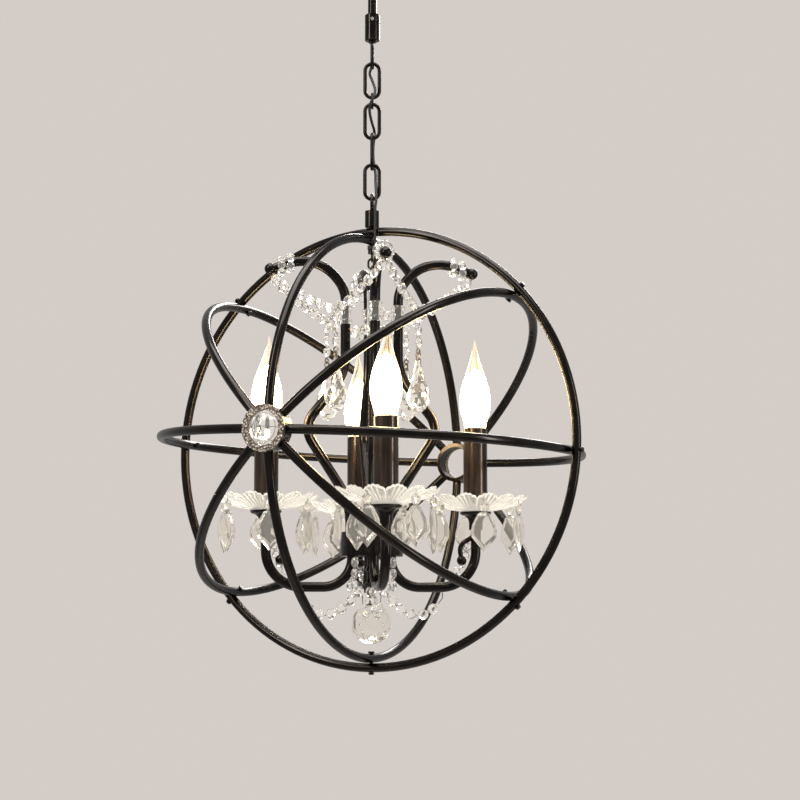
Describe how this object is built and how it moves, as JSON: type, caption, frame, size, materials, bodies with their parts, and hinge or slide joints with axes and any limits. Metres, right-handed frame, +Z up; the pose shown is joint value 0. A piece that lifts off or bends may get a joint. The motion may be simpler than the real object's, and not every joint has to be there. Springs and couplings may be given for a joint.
{
  "type": "orb chandelier",
  "caption": "Hanging orb chandelier: a cage of crossed tube hoops on a link chain, with a candle chandelier of scroll arms, glass dishes and crystal pendants inside.",
  "frame": {"origin": "centre of the ceiling plane above the object, midway between the two ceiling screw slots", "axes": "+Z up, along the chain; the two hubs of the cage lie on the Y axis through the orb's centre, the front hub at -Y"},
  "size_m": [0.505, 0.5012, 0.8397],
  "materials": {
    "dark_bronze": "glossy dark bronze lacquer, nearly black",
    "chain_bronze": "dark bronze, half gloss",
    "pewter": "hammered pewter with a dark patina",
    "crystal": "clear cut crystal with bevelled faces",
    "clear_tube": "clear blown glass tube",
    "lamp_glass": "frosted warm white lamp",
    "candle_bronze": "brown bronze, glossy",
    "socket_plastic": "dark phenolic",
    "cord_jacket": "black round jacket",
    "zinc_steel": "zinc plated"
  },
  "bodies": {
    "ceiling_mount": {"ceiling_bracket": "zinc_steel", "ground_screw": "zinc_steel", "canopy": "dark_bronze", "canopy_locknut": "dark_bronze", "downrod": "dark_bronze", "rod_coupler": "dark_bronze", "coupler_set_screw": "zinc_steel", "rod_loop": "chain_bronze", "supply_cord": "cord_jacket"},
    "link_1": {"chain_link_1": "chain_bronze"},
    "small_ring": {"chain_ring": "chain_bronze"},
    "link_2": {"chain_link_2": "chain_bronze"},
    "link_3": {"chain_link_3": "chain_bronze"},
    "link_4": {"chain_link_4": "chain_bronze"},
    "cage": {"top_eye_bolt": "dark_bronze", "outer_ring": "dark_bronze", "vertical_ring": "dark_bronze", "equator_ring": "dark_bronze", "rising_ring": "dark_bronze", "falling_ring": "dark_bronze", "front_hub": "dark_bronze", "back_hub": "dark_bronze", "front_bezel": "pewter", "back_bezel": "pewter", "front_crystal": "crystal", "ring_screws": "dark_bronze", "top_nut": "dark_bronze", "inner_loop": "dark_bronze"},
    "hook_link": {"inner_link": "dark_bronze"},
    "chandelier": {"stem": "dark_bronze", "stem_glass": "clear_tube", "wiring_drum": "dark_bronze", "drum_cover": "dark_bronze", "scroll_arm_1": "dark_bronze", "scroll_arm_2": "dark_bronze", "scroll_arm_3": "dark_bronze", "scroll_arm_4": "dark_bronze", "crystal_bobbins": "crystal", "candle_arm_1": "dark_bronze", "candle_arm_2": "dark_bronze", "candle_arm_3": "dark_bronze", "candle_arm_4": "dark_bronze", "candle_cups": "dark_bronze", "bobeche_1": "crystal", "bobeche_2": "crystal", "bobeche_3": "crystal", "bobeche_4": "crystal", "candle_sleeves": "candle_bronze", "lamp_holders": "socket_plastic", "bobeche_drops": "crystal", "bead_strings": "crystal"},
    "lamp_1": {"bulb_1": "lamp_glass"},
    "lamp_2": {"bulb_2": "lamp_glass"},
    "lamp_3": {"bulb_3": "lamp_glass"},
    "lamp_4": {"bulb_4": "lamp_glass"},
    "pendant_1": {"teardrop_1": "crystal"},
    "pendant_2": {"teardrop_2": "crystal"},
    "pendant_3": {"teardrop_3": "crystal"},
    "pendant_4": {"teardrop_4": "crystal"},
    "ball": {"bottom_ball": "crystal"}
  },
  "joints": [
    {"name": "link_1_swing", "type": "hinge", "parent": "ceiling_mount", "child": "link_1", "pos_m": [0, 0, -0.1502], "axis": [-0.4384, 0.8988, 0], "range_deg": [-10, 10], "deforming": ["supply_cord"]},
    {"name": "small_ring_swing", "type": "hinge", "parent": "link_1", "child": "small_ring", "pos_m": [0, 0, -0.1855], "axis": [0.8988, 0.4384, 0], "range_deg": [-10, 10]},
    {"name": "link_2_swing", "type": "hinge", "parent": "small_ring", "child": "link_2", "pos_m": [0, 0, -0.1973], "axis": [-0.4384, 0.8988, 0], "range_deg": [-10, 10]},
    {"name": "link_3_swing", "type": "hinge", "parent": "link_2", "child": "link_3", "pos_m": [0, 0, -0.2331], "axis": [0.8988, 0.4384, 0], "range_deg": [-10, 10]},
    {"name": "link_4_swing", "type": "hinge", "parent": "link_3", "child": "link_4", "pos_m": [0, 0, -0.2684], "axis": [-0.4384, 0.8988, 0], "range_deg": [-10, 10]},
    {"name": "cage_swing", "type": "hinge", "parent": "link_4", "child": "cage", "pos_m": [0, 0, -0.3037], "axis": [0.8988, 0.4384, 0], "range_deg": [-10, 10]},
    {"name": "hook_link_swing", "type": "hinge", "parent": "cage", "child": "hook_link", "pos_m": [0, 0, -0.3754], "axis": [-0.4384, 0.8988, 0], "range_deg": [-3, 3]},
    {"name": "chandelier_swing", "type": "hinge", "parent": "hook_link", "child": "chandelier", "pos_m": [0, 0, -0.3843], "axis": [0.8988, 0.4384, 0], "range_deg": [-3, 3]},
    {"name": "bulb_1_turn", "type": "hinge", "parent": "chandelier", "child": "lamp_1", "pos_m": [0.06599, -0.09783, -0.565], "axis": [0, 0, 1], "continuous": true},
    {"name": "bulb_2_turn", "type": "hinge", "parent": "chandelier", "child": "lamp_2", "pos_m": [0.09783, 0.06599, -0.565], "axis": [0, 0, 1], "continuous": true},
    {"name": "bulb_3_turn", "type": "hinge", "parent": "chandelier", "child": "lamp_3", "pos_m": [-0.06599, 0.09783, -0.565], "axis": [0, 0, 1], "continuous": true},
    {"name": "bulb_4_turn", "type": "hinge", "parent": "chandelier", "child": "lamp_4", "pos_m": [-0.09783, -0.06599, -0.565], "axis": [0, 0, 1], "continuous": true},
    {"name": "teardrop_1_swing", "type": "hinge", "parent": "chandelier", "child": "pendant_1", "pos_m": [0.06381, -0.0124, -0.487], "axis": [0.1908, 0.9816, 0], "range_deg": [-15, 15]},
    {"name": "teardrop_2_swing", "type": "hinge", "parent": "chandelier", "child": "pendant_2", "pos_m": [0.0124, 0.06381, -0.487], "axis": [-0.9816, 0.1908, 0], "range_deg": [-15, 15]},
    {"name": "teardrop_3_swing", "type": "hinge", "parent": "chandelier", "child": "pendant_3", "pos_m": [-0.06381, 0.0124, -0.487], "axis": [-0.1908, -0.9816, 0], "range_deg": [-15, 15]},
    {"name": "teardrop_4_swing", "type": "hinge", "parent": "chandelier", "child": "pendant_4", "pos_m": [-0.0124, -0.06381, -0.487], "axis": [0.9816, -0.1908, 0], "range_deg": [-15, 15]},
    {"name": "ball_swing", "type": "hinge", "parent": "chandelier", "child": "ball", "pos_m": [0, 0, -0.7475], "axis": [-0.4384, 0.8988, 0], "range_deg": [-6, 6]}
  ]
}
